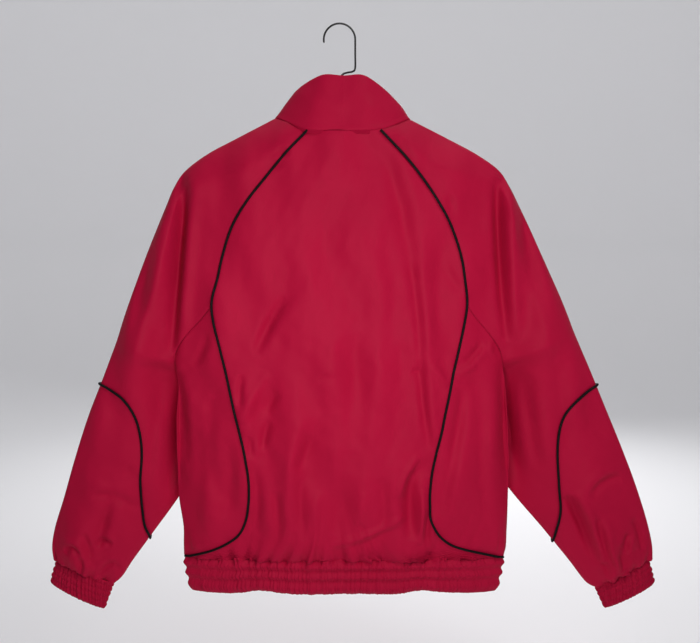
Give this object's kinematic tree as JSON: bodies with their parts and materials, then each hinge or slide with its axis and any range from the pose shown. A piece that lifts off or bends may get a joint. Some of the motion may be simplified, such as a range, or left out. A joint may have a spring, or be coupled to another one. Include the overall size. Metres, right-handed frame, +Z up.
{
  "type": "windbreaker on a hanger",
  "caption": "Red zip-up windbreaker with raglan sleeves, black piping, stand collar and gathered hem and cuffs, hanging flat and closed on a plain hanger.",
  "frame": {"origin": "inner top of the hanger's hook, where a rail or a peg carries it", "axes": "+X to the wearer's right, +Y to the wearer's front, +Z up"},
  "size_m": [0.986, 0.1122, 0.9329],
  "materials": {
    "shell_cloth": "smooth fine-woven polyester, soft sheen",
    "band_cloth": "the same woven polyester, gathered over elastic",
    "piping": "black satin-woven piping",
    "zip_tape": "woven zip tape with a moulded chain",
    "zip_metal": "dark enamelled zinc",
    "hanger_plastic": "satin dark plastic",
    "hook_wire": "dark drawn steel wire"
  },
  "bodies": {
    "garment": {"back_panel": "shell_cloth", "side_panel_left": "shell_cloth", "side_panel_right": "shell_cloth", "front_panel_left": "shell_cloth", "front_panel_right": "shell_cloth", "sleeve_left": "shell_cloth", "sleeve_right": "shell_cloth", "forearm_panel_left": "shell_cloth", "forearm_panel_right": "shell_cloth", "collar": "shell_cloth", "hem_band": "band_cloth", "cuff_left": "band_cloth", "cuff_right": "band_cloth", "piping_back_left": "piping", "piping_back_right": "piping", "piping_forearm_left": "piping", "piping_forearm_right": "piping", "zip_half_left": "zip_tape", "zip_half_right": "zip_tape", "zip_slider": "zip_metal", "hanger_body": "hanger_plastic", "hanger_hook": "hook_wire"},
    "pull_tab": {"zip_pull_tab": "zip_metal"}
  },
  "joints": [
    {"name": "pull_tab_swing", "type": "hinge", "parent": "garment", "child": "pull_tab", "pos_m": [0.006, 0.0625, -0.1575], "axis": [1, 0, 0], "range_deg": [0, 150]}
  ]
}
